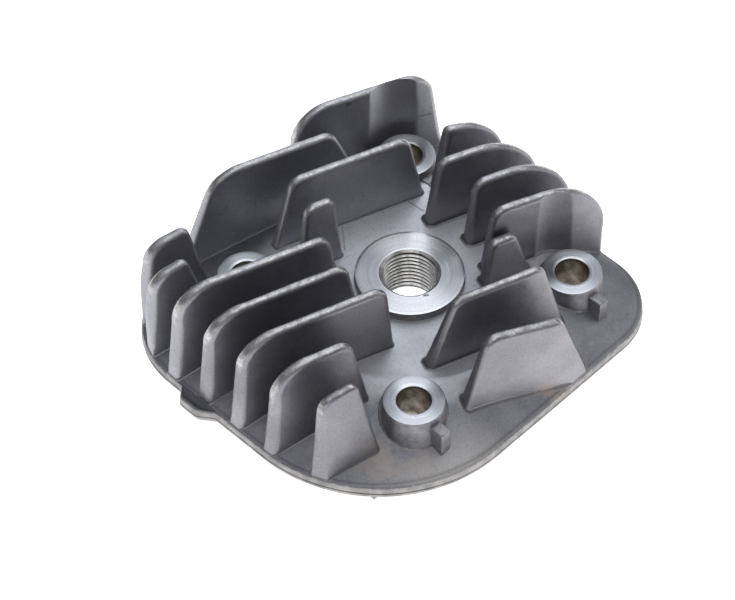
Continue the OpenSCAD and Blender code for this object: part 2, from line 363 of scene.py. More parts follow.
def resample(points, step):
    """Points at even steps along a polyline."""
    lengths = np.concatenate([[0], np.cumsum(np.linalg.norm(np.diff(points, axis=0), axis=1))])
    n = max(2, int(lengths[-1] / step))
    at = np.linspace(0, lengths[-1], n + 1)
    return np.stack([np.interp(at, lengths, points[:, i]) for i in range(2)], 1)


def ease(values, width):
    """Values smoothed by a running mean."""
    return np.convolve(np.pad(values, width // 2, mode="edge"), np.ones(width) / width, "valid")


def half_thickness(z):
    """Half of a fin's drafted thickness at height z."""
    t = (np.asarray(z) - FIN_LOW_Z) / (FIN_HIGH_Z - FIN_LOW_Z)
    return FIN_HALF_LOW + (FIN_HALF_HIGH - FIN_HALF_LOW) * t


class Fin:
    """One fin as a closed solid with rounded free edges, and a fillet at its foot.

    u runs along the fin, v across it and z up; u, v = 0, 0 is nearest to the plug axis."""

    def __init__(self, name, spec):
        self.name = name
        self.p, self.left, self.right, self.outer, self.relief = spec
        self.seed = 1 + sorted(FINS).index(name)

    def along(self, x):
        return (x - self.p * FIN_SIN) / FIN_COS

    def to_xy(self, u, v):
        """Plan position of a point u along the fin and v across it."""
        w = self.p + v
        return np.stack([u * FIN_COS + w * FIN_SIN, -u * FIN_SIN + w * FIN_COS], -1)

    def grow(self, end):
        """How far a rounded end is moved out, so that its nose stays at the CAD face."""
        side = -1 if end is self.left else 1
        return side * (LEFT_GROW if side == self.outer == -1 else END_GROW)

    def end_at(self, end, z):
        """Distance along the fin of an end's straight part at height z."""
        t = (np.asarray(z) - FIN_LOW_Z) / (end[2] - FIN_LOW_Z)
        return self.along(end[0] + (end[1] - end[0]) * t) + self.grow(end)

    def crest(self, end):
        return [self.along(end[1]) + self.grow(end), end[2]]

    def foot(self, end):
        """Where an end's straight part meets the deck, sunk a little into it."""
        z = PLATEAU_Z
        for _ in range(6):
            u = self.end_at(end, z)
            z = float(deck_z(self.to_xy(np.array([u]), np.array([0.0])))[0]) - FIN_SINK
        return [float(self.end_at(end, z)), z]

    def skew(self, u):
        """Share of the outer end's slant that a point takes: an outer end runs along Y."""
        if self.outer < 0:
            inward = u - self.u_left - self.left[3]
        elif self.outer > 0:
            inward = self.u_right - self.right[3] - u
        else:
            return np.zeros_like(u)
        return np.clip(1 - (inward - SKEW_START) / SKEW_FADE, 0, 1)

    def cross(self, u, v):
        """Across position with the spanner relief cut away."""
        if self.relief is None:
            return v
        x, y, r = self.relief
        us, vs = x * FIN_COS - y * FIN_SIN, x * FIN_SIN + y * FIN_COS - self.p
        reach = np.maximum(r * r - (u - us) ** 2, 0)
        return np.where(reach > 0, np.maximum(v, vs + np.sqrt(reach)), v)

    def plan(self, u, v):
        """Plan positions with the slant of the outer end, held inside the flange outline."""
        return keep_inside(self.to_xy(u - v * FIN_TAN * self.skew(u), v), FIN_INSET)

    def side_line(self):
        """Outline (u, z) of the side view, from the left foot over the crest to the right."""
        crest_l, crest_r = self.crest(self.left), self.crest(self.right)
        foot_l, foot_r = self.foot(self.left), self.foot(self.right)
        arc_l = corner_arc(foot_l, crest_l, crest_r, self.left[3], 24)
        arc_r = corner_arc(crest_l, crest_r, foot_r, self.right[3], 24)
        self.u_left, self.u_right = foot_l[0], foot_r[0]
        self.left_of, self.left_below = arc_l[-1][0], arc_l[0][1]
        self.right_of, self.right_below = arc_r[0][0], arc_r[-1][1]
        return resample(np.array([foot_l, *arc_l, *arc_r, foot_r]), FIN_STEP)

    def edge_shape(self, line):
        """Rounding radius and wear of the free edge at each point of the side line."""
        u, z = line[:, 0], line[:, 1]
        on_left = (u < self.left_of) & (z < self.left_below)
        on_right = (u > self.right_of) & (z < self.right_below)
        wear_and_shade = np.ones(len(line))
        wear_and_shade[on_left] = LEFT_WEAR[self.outer < 0]
        wear_and_shade[on_right] = RIGHT_WEAR[self.outer > 0]
        radius = np.full(len(line), EDGE_R)
        if self.outer:
            radius[on_left if self.outer < 0 else on_right] = OUTER_END_R
        dents = 1 + shake(np.column_stack([u, z, 0 * u]), 3.0, 0.15, self.seed)
        return np.minimum(ease(radius, 15) * dents, 0.98 * half_thickness(z)), ease(wear_and_shade, 11)

    def rows(self, line, radius, top_wear):
        """Rows (u, z, v, wear) from the foot of one face over the edge to the other foot."""
        tangent = np.gradient(line, axis=0)
        tangent /= np.linalg.norm(tangent, axis=1)[:, None]
        inward = np.stack([tangent[:, 1], -tangent[:, 0]], 1)
        inward[0], inward[-1] = (1, 0), (-1, 0)
        inner = line + inward * radius[:, None]
        fall = np.minimum(self.floor_z(inner[:, 0]), inner[:, 1]) - inner[:, 1]
        half = []
        for share in FACE_SHARES[::-1]:
            z = inner[:, 1] + fall * share
            half.append((inner[:, 0], z, half_thickness(z), 0 * z))
        for turn, share in zip(EDGE_TURNS, EDGE_WEAR):
            u, z = (line + inward * (radius * (1 - math.cos(turn)))[:, None]).T
            v = half_thickness(z) - radius + radius * math.sin(turn)
            half.append((u, z, v, share * top_wear))
        return half + [(u, z, -v, wear_and_shade) for u, z, v, wear_and_shade in half[::-1]]

    def solid(self):
        """Points, faces and wear of the fin's closed body."""
        line = self.side_line()
        radius, top_wear = self.edge_shape(line)
        rows = self.rows(line, radius, top_wear)
        u, z, v, wear_and_shade = (np.concatenate(values) for values in zip(*rows))
        where = np.column_stack([u, z, v * 2])
        v = v + np.sign(v) * (shake(where, 9.0, 0.10, self.seed) - 0.03)
        edge = np.clip(wear_and_shade * 3, 0, 1)
        z = z + edge * shake(where, 2.2, 0.05, self.seed + 40)
        u = u + edge * shake(where, 2.6, 0.04, self.seed + 80)
        cut = self.cross(u, v)
        crest, bend = np.tile(line[:, 1], len(rows)), np.tile(radius, len(rows))
        over = np.clip((cut - half_thickness(crest) + bend) / bend, 0, 1)
        z = np.where(cut > v, np.minimum(z, crest - bend * (1 - np.sqrt(1 - over ** 2))), z)
        return np.column_stack([self.plan(u, cut), z]), bar_faces(len(rows), len(line)), wear_and_shade

    def floor_z(self, u):
        """Height of the fin's hidden underside, just below the deck on both faces."""
        both = [deck_z(self.to_xy(u, np.full_like(u, s * FIN_HALF_LOW))) for s in (1, -1)]
        return np.minimum(*both) - FLOOR_SINK

    def contour_at(self, h):
        """The fin's wall all round at height h above the deck, and its outward directions."""
        foot_l = self.foot(self.left)[1] + FIN_SINK
        foot_r = self.foot(self.right)[1] + FIN_SINK
        left, right = self.end_at(self.left, foot_l + h), self.end_at(self.right, foot_r + h)
        half = half_thickness((foot_l + foot_r) / 2 + h)
        r = np.minimum(EDGE_R, 0.98 * half)
        nu, nv = np.cos(WALL_TURN), np.sin(WALL_TURN)
        u = left + r + (right - left - 2 * r) * WALL_ALONG + r * nu
        v = (half - r) * WALL_SIDE + r * nv
        out = np.stack([nu * FIN_COS + nv * FIN_SIN, -nu * FIN_SIN + nv * FIN_COS], 1)
        return self.plan(u, self.cross(u, v)), out

    def make(self, material):
        points, faces, wear_and_shade = self.solid()
        wide = self.name.startswith(("fin_front", "fin_right"))
        strip, strip_faces = fillet_strip(self.contour_at, FILLET_R if wide else SMALL_FILLET_R)
        both, all_faces = join([(points, faces), (strip, strip_faces)])
        # the fillet strip takes the negative values, which paint shade at the fin's foot
        wear_and_shade = np.concatenate([wear_and_shade, np.repeat(FILLET_PAINTED_SHADE, len(strip) // len(FILLET_PAINTED_SHADE))])
        obj = new_object(self.name + "_cast", both, all_faces, [material], wear_and_shade=wear_and_shade, sharp=50)
        return place(obj, "cast_fins", self.name)


# ---- flange and core
# rim profile from the top edge down: distance outside the outline, height
RIM_PROFILE = [(-0.3, 7.44), (-0.12, 7.33), (0.0, 7.1), (0.08, 6.7), (0.13, 6.2), (0.16, 5.9),
               (0.2, PARTING_Z + 0.14), (0.07, PARTING_Z + 0.03), (0.07, PARTING_Z - 0.1),
               (0.24, PARTING_Z - 0.2), (0.2, 5.0), (0.04, 4.5), (-0.2, 4.05), (-0.42, 3.8),
               (-0.75, RIM_LOW_Z)]
# wear on the rim's top edge, and painted shade (the negative values) in the parting-line groove
RIM_WEAR_AND_SHADE = [0.35, 0.5, 0.5, 0.2, 0, 0, 0, -0.8, -0.8, 0, 0.3, 0, 0, 0, 0]
RIM_BAND = 1.84  # points nearer than this to the parting line's height move in and out
DECK_INSETS = [3.0, 2.3, 1.9, 1.6, 1.35, 1.15, 0.95, 0.75, 0.55]
GROOVE_AT, GROOVE_WIDTH, GROOVE_DEPTH = 0.95, 0.4, 0.10


def groove(inset):
    """How far a shallow hollow just inside the rim sinks the deck."""
    return GROOVE_DEPTH * math.exp(-((inset - GROOVE_AT) / GROOVE_WIDTH) ** 2)


def flange_rows(edge, out):
    """Rows from the core over the deck, down the rim and back below, and how many of them
    come before the underside."""
    angle = np.arctan2(edge[:, 1], edge[:, 0])
    core = np.stack([np.cos(angle), np.sin(angle)], 1) * JOINT_R
    rows = Rows()
    for t in np.concatenate([[0, 0.02, 0.05], np.linspace(0.09, 0.96, 24)]):
        xy = core + (edge - out * DECK_INSETS[0] - core) * t
        rows.add(xy, deck_z(xy))
    for inset in DECK_INSETS:
        xy = edge - out * inset
        # painted shade: the hollow takes negative values that darken it by its depth
        rows.add(xy, deck_z(xy) - groove(inset), -0.5 * groove(inset) / GROOVE_DEPTH)
    for (reach, z), wear_and_shade in zip(RIM_PROFILE, RIM_WEAR_AND_SHADE):
        rows.add(edge + out * reach, z, wear_and_shade)
    top_rows = len(rows.points)
    low = edge + out * RIM_PROFILE[-1][0]
    for t in np.linspace(0.9, 0, 10):
        rows.add(core + (low - core) * t, RIM_LOW_Z)
    return rows, top_rows


def flange_piece(material, under):
    """Sloping deck, rim with its parting line, and flat underside, from the core outward."""
    edge, out = outline_points(0.9)
    rows, top_rows = flange_rows(edge, out)
    points = np.concatenate(rows.points)
    wave = shake(points, 14.0, 0.08, 3) + shake(points, 4.0, 0.03, 4)
    on_rim = np.abs(points[:, 2] - PARTING_Z) < RIM_BAND
    size = np.linalg.norm(points[:, :2], axis=1)
    away = size > JOINT_R + 3
    points[:, :2] += points[:, :2] / size[:, None] * (wave * on_rim)[:, None]
    points[:, 2] += np.where(on_rim | ~away, 0, wave * 0.5)
    n = len(edge)
    faces = tube_faces(len(rows.points), n)
    kinds = [0 if i // n < top_rows - 1 else 1 for i in range(len(faces))]
    obj = new_object("flange_cast", points, faces, [material, under], kinds,
                     np.repeat(rows.wear_and_shade, n), sharp=35)
    cut_round(obj, STUDS.values(), FLANGE_HOLE_R, -5, 30)
    return place(obj, "cast_deck", "flange")


def cut_round(obj, centres, radius, low, high, sides=96):
    """Cuts a round hole through a piece at each centre, where a boss fills it."""
    caps = [tuple(range(sides)), tuple(range(2 * sides - 1, sides - 1, -1))]
    faces = grid_faces(2, sides) + caps
    for i, centre in enumerate(centres):
        points = revolve([(radius, low), (radius, high)], sides, centre)
        tool = new_object(f"cutter_{i}", points, faces, [])
        mod = obj.modifiers.new("cut", "BOOLEAN")
        mod.operation = "DIFFERENCE"
        mod.solver = "EXACT"
        mod.object = tool
        bpy.context.view_layer.objects.active = obj
        bpy.ops.object.modifier_apply(modifier=mod.name)
        bpy.data.objects.remove(tool)


def bowl_z(r):
    """Height of the bowl's round roof at radius r."""
    roof = SEAT_Z - PLUG_REACH
    centre = ((BOWL_R ** 2 - THREAD_MINOR_R ** 2 + SQUISH_DEPTH ** 2 - roof ** 2)
              / (2 * (SQUISH_DEPTH - roof)))
    ball = math.hypot(BOWL_R, SQUISH_DEPTH - centre)
    return centre + np.sqrt(ball ** 2 - np.asarray(r, float) ** 2)


def core_piece(material, turned):
    """Middle of the head: flat deck above, joint face, squish band and bowl below."""
    bowl = [(r, float(bowl_z(r))) for r in np.linspace(BOWL_R, PLUG_R, 12)]
    deck = [(r, PLATEAU_Z) for r in np.linspace(PLUG_R, JOINT_R, 18)]
    below = [(JOINT_R, 0.35), (JOINT_R - 0.35, 0), (27, 0), (24, 0), (SQUISH_R + 0.15, 0),
             (SQUISH_R, 0.15), (SQUISH_R, SQUISH_DEPTH), (18.4, SQUISH_DEPTH)]
    profile = deck + below + bowl
    marks = [0] * (len(deck) - 1) + [1] * (len(below) + len(bowl)) + [0]
    points = revolve(profile, 180, (0, 0))
    faces, kinds = ring_faces(180, marks)
    obj = new_object("head_core_cast", points, faces, [material, turned], kinds, sharp=30)
    cut_round(obj, STUDS.values(), BOSS_FOOT_R, -5, FOOT_TOP_Z)
    return place(obj, "cast_deck", "head_core")


def thread_points(segments, steps):
    """Rows of the spiral thread from the entry chamfer down, as an uneven cylinder."""
    top, low = SEAT_Z - 0.1, SEAT_Z - PLUG_REACH + 0.25
    rows = []
    angles = np.linspace(0, 2 * math.pi, segments, endpoint=False)
    count = int((top - low) / THREAD_PITCH * steps)
    for z in np.linspace(top, low, count + 1):
        phase = (z / THREAD_PITCH - angles / (2 * math.pi)) % 1.0
        flank = np.abs(phase - 0.5) * 2
        depth = np.clip((flank - 0.12) / 0.72, 0, 1)
        groove_r = THREAD_MINOR_R + 0.02 + THREAD_DEPTH * depth * min(1, z - low)
        chamfer_r = ENTRY_R - 0.05 - (top - z)
        r = np.maximum(groove_r, chamfer_r)
        rows.append(np.column_stack([r * np.cos(angles), r * np.sin(angles),
                                     np.full(segments, z)]))
    return rows


def plug_boss_piece(turned, wall, thread):
    """Plug boss: turned seat, spiral thread, bowl surface below."""
    segments = 144
    seat = [(PLUG_R, PLATEAU_Z - 0.8), (PLUG_R, SEAT_Z - 0.1), (PLUG_R - 0.03, SEAT_Z - 0.03),
            (PLUG_R - 0.1, SEAT_Z), (12.2, SEAT_Z), (11.0, SEAT_Z), (9.8, SEAT_Z),
            (8.6, SEAT_Z), (7.75, SEAT_Z), (ENTRY_R + 0.08, SEAT_Z), (ENTRY_R, SEAT_Z - 0.04)]
    bowl = [(r, float(bowl_z(r))) for r in np.linspace(THREAD_MINOR_R + 0.35, PLUG_R, 14)]
    upper = revolve(seat, segments, (0, 0))
    spiral = thread_points(segments, 14)
    lower = revolve(bowl, segments, (0, 0))
    points = np.concatenate([upper, *spiral, lower])
    marks = [1] + [0] * (len(seat) - 2) + [2] * (len(spiral) + 1) + [0] * (len(bowl) - 1) + [1]
    faces, kinds = ring_faces(segments, marks)
    strip, strip_faces = fillet_strip(circle_contour((0, 0), PLUG_R, PLUG_R, 1), 0.18)
    both, all_faces = join([(points, faces), (strip, strip_faces)])
    obj = new_object("plug_boss_turned", both, all_faces, [turned, wall, thread],
                     kinds + [1] * len(strip_faces), sharp=32)
    return place(obj, "machined", "plug_boss")


def stud_boss_profile():
    """Profile of a stud boss, up the bore, over the top and down to the foot, and the
    material of each of its sides: 0 turned, 1 wall, 2 bore."""
    shoulder = RIM_TOP_Z + 2
    fall = (BOSS_ROOT_R - BOSS_TOP_R) / (SEAT_Z - shoulder)
    bore = [(HOLE_R, z) for z in np.linspace(0.3, SEAT_Z - 0.22, 20)]
    top = [(HOLE_R + 0.07, SEAT_Z - 0.07), (HOLE_R + 0.22, SEAT_Z), (5.0, SEAT_Z),
           (6.0, SEAT_Z), (BOSS_TOP_R - 0.22, SEAT_Z), (BOSS_TOP_R - 0.08, SEAT_Z - 0.05)]
    wall = [(BOSS_TOP_R + fall * d, SEAT_Z - d) for d in
            (0.2, 0.8, 1.6, 2.6, 3.8, 5.2, 6.6, 8.0, SEAT_Z - shoulder)]
    foot = [(BOSS_ROOT_R, FOOT_TOP_Z), (BOSS_FOOT_R, FOOT_TOP_Z), (BOSS_FOOT_R, 0.3),
            (BOSS_FOOT_R - 0.3, 0), (7.5, 0), (6, 0), (HOLE_R + 0.3, 0)]
    marks = ([2] * (len(bore) - 1) + [0] * len(top) + [1] * (len(wall) + 3)
             + [0] * (len(foot) - 3) + [2])
    return bore + top + wall + foot, marks


def uneven_boss(points, centre):
    """Stud boss points with a wavy cast wall and a rough bore."""
    radial = points[:, :2] - np.array(centre)
    size = np.linalg.norm(radial, axis=1)
    z = points[:, 2]
    walls = (z > FOOT_TOP_Z + 0.5) & (z < SEAT_Z - 0.5) & (size > HOLE_R + 1)
    bored = (size < HOLE_R + 0.01) & (z < SEAT_Z - 1) & (z > 1)
    uneven = shake(points, 5.0, 0.07, 11) * walls
    uneven += np.maximum(shake(points, 2.4, 0.10, 17), 0) * bored
    return np.column_stack([points[:, :2] + radial / size[:, None] * uneven[:, None], z])


def stud_boss_piece(name, centre, turned, wall, bore):
    """Stud boss: turned top, plain bore, drafted cast wall and foot column."""
    segments = 128
    profile, marks = stud_boss_profile()
    points = uneven_boss(revolve(profile, segments, centre), centre)
    faces, kinds = ring_faces(segments, marks)
    contour = circle_contour(centre, BOSS_ROOT_R - 0.1, BOSS_ROOT_R - 0.35, 2)
    strip, strip_faces = fillet_strip(contour, 0.4)
    both, all_faces = join([(points, faces), (strip, strip_faces)])
    obj = new_object(f"stud_boss_{name}_turned", both, all_faces, [turned, wall, bore],
                     kinds + [1] * len(strip_faces), at=(*centre, 0), sharp=32)
    return place(obj, "machined", f"stud_boss_{name}")


def rounded_block(low, high, taper, radius):
    """Points and faces of a box with rounded edges that narrows by taper towards its top."""
    bm = bmesh.new()
    bmesh.ops.create_cube(bm, size=1.0)
    low, high = np.array(low, float), np.array(high, float)
    for v in bm.verts:
        t = np.array(v.co) + 0.5
        p = low + (high - low) * t
        middle = (low + high) / 2
        if t[2] > 0.5:
            p[:2] = middle[:2] + (p[:2] - middle[:2]) * taper
        v.co = Vector(p)
    bmesh.ops.bevel(bm, geom=list(bm.edges), offset=radius, segments=4, profile=0.5,
                    affect="EDGES", clamp_overlap=True)
    bmesh.ops.subdivide_edges(bm, edges=[e for e in bm.edges if e.calc_length() > 1.0],
                              cuts=2, use_grid_fill=True)
    points = np.array([v.co[:] for v in bm.verts])
    faces = [tuple(v.index for v in f.verts) for f in bm.faces]
    bm.free()
    return points, faces


def lug_piece(name, centre, material):
    """Square lug on the front side of a stud boss."""
    x, y = centre
    reach, inner_reach, width, shift, top, sink = 10.9, 6.6, 3.0, -0.6, SEAT_Z - 1.9, 1.5
    low_z = float(deck_z(np.array([[x + shift, y - reach]]))[0]) - sink
    points, faces = rounded_block((x + shift - width / 2, y - reach, low_z),
                                  (x + shift + width / 2, y - inner_reach, top),
                                  taper=0.97, radius=0.32)
    points = points + np.column_stack([shake(points, 1.6, 0.12, 23 + s) for s in range(3)])
    wear_and_shade = np.clip((points[:, 2] - (top - 0.5)) * 2, 0, 0.8)
    obj = new_object(f"lug_{name}_cast", points, faces, [material], wear_and_shade=wear_and_shade, sharp=60)
    return place(obj, "cast_deck", f"lug_{name}")


def smooth_step(t):
    t = np.clip(t, 0, 1)
    return t * t * (3 - 2 * t)


def ear_piece(material):
    """Thin locating ear that swells out of the rim on the left edge."""
    low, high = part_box("locating_ear")
    y0, y1 = low.y / MM, high.y / MM
    edge, out = outline_points(0.35)
    near = (edge[:, 0] < 0) & (edge[:, 1] > y0 - 1) & (edge[:, 1] < y1 + 1)
    edge, out = edge[near], out[near]
    swell = smooth_step((edge[:, 1] - y0) / 5.2) * smooth_step((y1 - edge[:, 1]) / 3.4)
    swell = (-cad_low.x / MM - SUPPORT[LEFTWARD]) * swell - 0.05
    top_z = RIM_TOP_Z + 0.03
    rows = Rows()
    # negative values darken the ear's top, most in the middle of its sag
    for inset, wear_and_shade in ((1.2, -0.6), (0.7, -0.6), (0.35, -0.5)):
        rows.add(edge - out * inset, top_z, wear_and_shade)
    for t, wear_and_shade in ((0.4, -0.5), (0.75, -0.9), (0.92, -0.5)):
        sag = 0.12 * math.sin(t * math.pi)
        rows.add(edge + out * ((swell - 0.3) * t)[:, None], top_z - sag, wear_and_shade)
    for (reach, z), wear_and_shade in zip(RIM_PROFILE, RIM_WEAR_AND_SHADE):
        rows.add(edge + out * (swell + reach)[:, None], z, wear_and_shade)
    rows.add(edge - out * 1.2, RIM_LOW_Z)
    obj = new_object("locating_ear_cast", np.concatenate(rows.points),
                     bar_faces(len(rows.points), len(edge)), [material],
                     wear_and_shade=np.repeat(rows.wear_and_shade, len(edge)), sharp=60)
    return place(obj, "cast_deck", "locating_ear")


def rim_nib(material):
    """Small casting nib that is left on the rim's lower edge at the front."""
    edge, out = outline_points(0.35)
    k = int(np.argmin(np.linalg.norm(edge - NIB_AT, axis=1)))
    x, y = edge[k] - out[k] * 0.9
    points, faces = rounded_block((x - 0.9, y - 0.6, RIM_LOW_Z - 0.45),
                                  (x + 0.9, y + 0.6, RIM_LOW_Z + 0.6), taper=1.0, radius=0.25)
    points = points + np.column_stack([shake(points, 0.8, 0.12, 31 + s) for s in range(3)])
    obj = new_object("rim_nib_cast", points, faces, [material], sharp=60)
    return place(obj, "cast_deck")


# ---- materials
# linear colours
FIN_DARK, FIN_LIGHT = (0.262, 0.257, 0.286), (0.358, 0.351, 0.376)
# painted light: lighter fin colour mixed in towards the back of the head
FIN_BACK_PAINTED_LIGHT = (0.45, 0.455, 0.50)
EDGE_DARK, EDGE_LIGHT = (0.44, 0.436, 0.442), (0.68, 0.676, 0.68)
DECK_DULL, DECK_LIGHT = (0.46, 0.468, 0.508), (0.565, 0.577, 0.62)
# painted light: paler deck colour mixed in towards the back right
DECK_BACK_PAINTED_LIGHT = (0.80, 0.815, 0.87)
# painted shade: darker colours for the deck's slope beyond the flat centre
OUTER_PAINTED_SHADE_DARK, OUTER_PAINTED_SHADE_PALE = (0.232, 0.239, 0.268), (0.318, 0.326, 0.361)
OUTER_FRONT = (0.55, 0.535, 0.54)
RIM_DARK, RIM_LIGHT = (0.29, 0.284, 0.28), (0.46, 0.45, 0.44)
WALL_DARK, WALL_LIGHT = (0.25, 0.245, 0.264), (0.345, 0.338, 0.358)
BORE_DARK, BORE_LIGHT = (0.22, 0.19, 0.165), (0.60, 0.555, 0.50)
# SEAT_SHADE: painted shade that darkens turned faces off one diagonal, as painted sheen of the turning
# marks
SEAT_SHADE, TURNED_GRAIN = (0.19, 0.20, 0.225), (0.2, 0.2, 0.2)
# turned faces: light and dark of their tool marks, roughness
SEAT_LOOK = (0.84, 0.855, 0.885), (0.63, 0.645, 0.685), 0.27
STUD_SEAT_LOOK = (0.76, 0.785, 0.825), (0.52, 0.54, 0.585), 0.30
JOINT_FACE_LOOK = (0.78, 0.78, 0.78), (0.52, 0.52, 0.53), 0.38
THREAD_DARK, THREAD_LIGHT = (0.03, 0.03, 0.03), (0.86, 0.85, 0.84)
STAIN, RUST = (0.43, 0.365, 0.32), (0.45, 0.33, 0.25)
# dark colour for real marks, scratches and a nick, and for painted shade in fin fillets and flange
# hollows; it also darkens the ear's top
GRIME_AND_PAINTED_SHADE = (0.05, 0.05, 0.053)
GRAIN_DARK, GRAIN_LIGHT = (0.05, 0.05, 0.055), (0.62, 0.62, 0.63)
# blots: centre, size, strength
STAINS = [((-39.5, -29.0, 9.0), 5.5, 0.5), ((-43.0, -24.0, 8.0), 3.5, 0.4),
          ((4.0, -42.5, 8.5), 3.5, 0.6), ((-34.0, -36.0, 9.0), 4.0, 0.35)]
FIN_STAINS = [((2.0, -41.5, 8.8), 3.0, 0.35), ((-40.2, -26.7, 13.0), 3.0, 0.15)]
# thin marks: from, to, width, strength
FIN_MARKS = [((17.6, 38.5, 34.4), (19.2, 37.9, 34.1), 0.6, 0.45),
             ((36.5, 32.0, 21.6), (40.0, 30.8, 21.0), 0.5, 0.6)]
FIN_SCRATCHES = [((4.3, -42.0, 20.0), (5.4, -42.6, 8.8), 0.22, 0.3)]
DECK_MARKS = [((17.6, 18.1, PLATEAU_Z), (18.0, 12.1, PLATEAU_Z), 0.3, 0.5),
              ((1.2, 23.6, PLATEAU_Z), (-4.7, 16.8, PLATEAU_Z), 0.3, 0.3),
              ((20.5, 20.0, PLATEAU_Z), (12.5, 20.6, PLATEAU_Z), 0.3, 0.35)]
NICK = ((-3.0, -7.1, SEAT_Z), (-1.9, -8.0, SEAT_Z), 0.38)
FLOOR_GLOW = 0.95
FLOOR_COLOUR, FLOOR_GLOW_COLOUR = (0.86, 0.86, 0.86), (1.0, 0.99, 0.985)


class Nodes:
    """Short calls that add shader nodes to one material; lengths are in millimetres."""

    def __init__(self, name):
        self.material = bpy.data.materials.new(name)
        self.material.use_nodes = True
        self.tree = self.material.node_tree
        self.shader = self.tree.nodes["Principled BSDF"]
        scaled = self.vector("SCALE", self.add("ShaderNodeTexCoord").outputs["Object"])
        scaled.inputs["Scale"].default_value = 1 / MM
        self.at = scaled.outputs[0]
        split = self.add("ShaderNodeSeparateXYZ")
        self.link(self.at, split.inputs[0])
        self.x, self.y, self.z = split.outputs

    def add(self, kind, **settings):
        node = self.tree.nodes.new(kind)
        for key, value in settings.items():
            setattr(node, key, value)
        return node

    def link(self, source, target):
        if isinstance(source, (int, float)):
            target.default_value = source
        elif isinstance(source, tuple):
            target.default_value = (*source, 1.0)
        else:
            self.tree.links.new(source, target)

    def feed(self, node, values):
        """Links or sets a node's inputs, given by name or number."""
        for key, value in values.items():
            self.link(value, node.inputs[key])
        return node

    def vector(self, operation, a, b=None):
        """Vector maths node on the vector a and the fixed vector b."""
        node = self.add("ShaderNodeVectorMath", operation=operation)
        self.link(a, node.inputs[0])
        if b is not None:
            node.inputs[1].default_value = b
        return node

    def noise(self, size, detail=2.0, rough=0.5, at=None, offset=0.0):
        """Noise of about the given feature size, 0 to 1."""
        shift = (offset, offset * 0.7, offset * 1.3)
        moved = self.vector("ADD", self.at if at is None else at, shift)
        node = self.feed(self.add("ShaderNodeTexNoise"), {
            "Scale": 1.0 / size, "Detail": detail, "Roughness": rough,
            "Vector": moved.outputs[0]})
        return node.outputs["Fac"]

    def ramp(self, value, low, high, to_low=0.0, to_high=1.0):
        """Value mapped smoothly from low..high to to_low..to_high."""
        node = self.add("ShaderNodeMapRange", interpolation_type="SMOOTHSTEP")
        values = {0: value, 1: low, 2: high, 3: to_low, 4: to_high}
        return self.feed(node, values).outputs[0]

    def math(self, operation, a, b=0.0):
        node = self.add("ShaderNodeMath", operation=operation)
        return self.feed(node, {0: a, 1: b}).outputs[0]

    def mix(self, factor, a, b):
        node = self.add("ShaderNodeMix", data_type="RGBA")
        return self.feed(node, {0: factor, 6: a, 7: b}).outputs[2]

    def over(self, colour, mask, share, tint):
        """Colour with a share of the tint laid over it where the mask is 1."""
        return self.mix(self.math("MULTIPLY", mask, share), colour, tint)

    # positive values are wear, negative values are painted shade
    def wear_and_shade(self):
        return self.add("ShaderNodeAttribute", attribute_name="wear_and_shade").outputs["Fac"]

    def radius(self):
        """Distance from the object's upright axis."""
        squares = [self.math("MULTIPLY", c, c) for c in (self.x, self.y)]
        return self.math("SQRT", self.math("ADD", *squares))

    def spot(self, centre, size):
        """1 inside a ragged blot round centre, fading to 0 at its edge."""
        moved = self.vector("SUBTRACT", self.at, centre)
        length = self.vector("LENGTH", moved.outputs[0]).outputs["Value"]
        ragged = self.ramp(self.noise(size * 0.35, 4), 0.3, 0.7, -0.4 * size, 0.4 * size)
        return self.ramp(self.math("ADD", length, ragged), size * 0.5, size * 1.1, 1.0, 0.0)

    def line(self, a, b, width):
        """1 along a thin straight mark from a to b, 0 off it."""
        a, b = Vector(a), Vector(b)
        along, middle = (b - a).normalized(), (b - a).length / 2
        moved = self.vector("SUBTRACT", self.at, a).outputs[0]
        dot = self.vector("DOT_PRODUCT", moved, along).outputs["Value"]
        cross = self.vector("CROSS_PRODUCT", moved, along).outputs[0]
        off = self.vector("LENGTH", cross).outputs["Value"]
        near = self.ramp(off, width * 0.5, width, 1.0, 0.0)
        inside = self.math("ABSOLUTE", self.math("SUBTRACT", dot, middle))
        return self.math("MULTIPLY", near, self.ramp(inside, middle * 0.8, middle, 1.0, 0.0))

    def bump(self, height, distance, strength=1.0, under=None):
        node = self.feed(self.add("ShaderNodeBump"), {
            "Strength": strength, "Distance": distance * MM, "Height": height})
        if under is not None:
            self.link(under, node.inputs["Normal"])
        return node.outputs["Normal"]

    def finish(self, colour, rough, normal, metallic=1.0):
        self.feed(self.shader, {"Base Color": colour, "Roughness": rough, "Normal": normal,
                                "Metallic": metallic})
        return self.material


def grainy(n, colour, grain, amount):
    """Colour broken up by fine light and dark grains."""
    light = n.ramp(n.noise(grain, 3, 0.6, offset=5), 0.5, 0.72)
    dark = n.ramp(n.noise(grain * 1.4, 3, 0.6, offset=23), 0.5, 0.3)
    brighter = n.over(colour, light, amount, GRAIN_LIGHT)
    return n.over(brighter, dark, amount, GRAIN_DARK)


